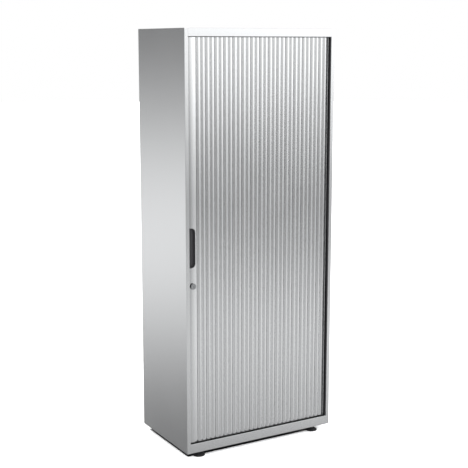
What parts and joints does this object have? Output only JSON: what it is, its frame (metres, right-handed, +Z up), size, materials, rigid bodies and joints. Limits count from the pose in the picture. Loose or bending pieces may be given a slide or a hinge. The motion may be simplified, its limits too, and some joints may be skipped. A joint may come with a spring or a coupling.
{
  "type": "tambour cupboard",
  "caption": "Tall steel cupboard with one side-opening tambour curtain of upright ribbed slats, a recessed pull, a cam lock, shelves inside and levelling feet.",
  "frame": {"origin": "on the floor, under the middle of the case", "axes": "+Z up, the front faces -Y, the shutter opens towards +X"},
  "size_m": [0.8, 0.47, 1.98],
  "materials": {
    "case_paint": "silver-grey metallic powder coat, fine texture",
    "inner_paint": "silver-grey powder coat",
    "slat_plastic": "silver-grey satin",
    "lead_paint": "silver-grey satin paint on an aluminium extrusion",
    "black_plastic": "fine satin",
    "track_plastic": "smooth",
    "pad_plastic": "satin",
    "rubber": "matt",
    "zinc": "bright zinc plate",
    "lock_chrome": "polished"
  },
  "bodies": {
    "carcass": {"back_panel": "case_paint", "base_panel": "case_paint", "bottom_back_track": "track_plastic", "bottom_front_track": "track_plastic", "bottom_side_track": "track_plastic", "closing_buffers": "rubber", "corner_tracks": "track_plastic", "curtain_tail": "slat_plastic", "floor_tray": "inner_paint", "foot_nuts": "zinc", "left_front_post": "inner_paint", "left_rear_post": "inner_paint", "left_side_panel": "case_paint", "lock_strike": "zinc", "nose_trim": "rubber", "pocket_back_liner": "inner_paint", "pocket_side_liner": "inner_paint", "right_edge_seal": "black_plastic", "right_front_post": "inner_paint", "right_rear_post": "inner_paint", "right_side_panel": "case_paint", "shelf_1": "inner_paint", "shelf_2": "inner_paint", "shelf_3": "inner_paint", "shelf_4": "inner_paint", "shelf_clips": "zinc", "top_back_track": "track_plastic", "top_front_track": "track_plastic", "top_panel": "case_paint", "top_side_track": "track_plastic"},
    "shutter": {"lead_slat": "lead_paint", "lead_guides": "track_plastic", "handle_cup": "black_plastic", "lock_housing": "lock_chrome", "lock_nut": "zinc", "slat_01": "slat_plastic", "slat_02": "slat_plastic", "slat_03": "slat_plastic", "slat_04": "slat_plastic", "slat_05": "slat_plastic", "slat_06": "slat_plastic", "slat_07": "slat_plastic", "slat_08": "slat_plastic", "slat_09": "slat_plastic", "slat_10": "slat_plastic", "slat_11": "slat_plastic", "slat_12": "slat_plastic", "slat_13": "slat_plastic", "slat_14": "slat_plastic", "slat_15": "slat_plastic"},
    "lock": {"lock_plug": "lock_chrome", "lock_cam": "zinc"},
    "foot_front_left": {"foot_pad_front_left": "pad_plastic", "foot_stud_front_left": "zinc"},
    "foot_front_right": {"foot_pad_front_right": "pad_plastic", "foot_stud_front_right": "zinc"},
    "foot_rear_left": {"foot_pad_rear_left": "pad_plastic", "foot_stud_rear_left": "zinc"},
    "foot_rear_right": {"foot_pad_rear_right": "pad_plastic", "foot_stud_rear_right": "zinc"}
  },
  "joints": [
    {"name": "shutter_slide", "type": "slide", "parent": "carcass", "child": "shutter", "axis": [1, 0, 0], "range_m": [0, 0.693], "deforming": ["slat_01", "slat_02", "slat_03", "slat_04", "slat_05", "slat_06", "slat_07", "slat_08", "slat_09", "slat_10", "slat_11", "slat_12", "slat_13", "slat_14", "slat_15"]},
    {"name": "lock_turn", "type": "hinge", "parent": "shutter", "child": "lock", "pos_m": [-0.36145, -0.218, 0.824], "axis": [0, 1, 0], "range_deg": [0, 90]},
    {"name": "level_front_left", "type": "slide", "parent": "carcass", "child": "foot_front_left", "axis": [0, 0, 1], "range_m": [-0.015, 0]},
    {"name": "level_front_right", "type": "slide", "parent": "carcass", "child": "foot_front_right", "axis": [0, 0, 1], "range_m": [-0.015, 0]},
    {"name": "level_rear_left", "type": "slide", "parent": "carcass", "child": "foot_rear_left", "axis": [0, 0, 1], "range_m": [-0.015, 0]},
    {"name": "level_rear_right", "type": "slide", "parent": "carcass", "child": "foot_rear_right", "axis": [0, 0, 1], "range_m": [-0.015, 0]}
  ]
}
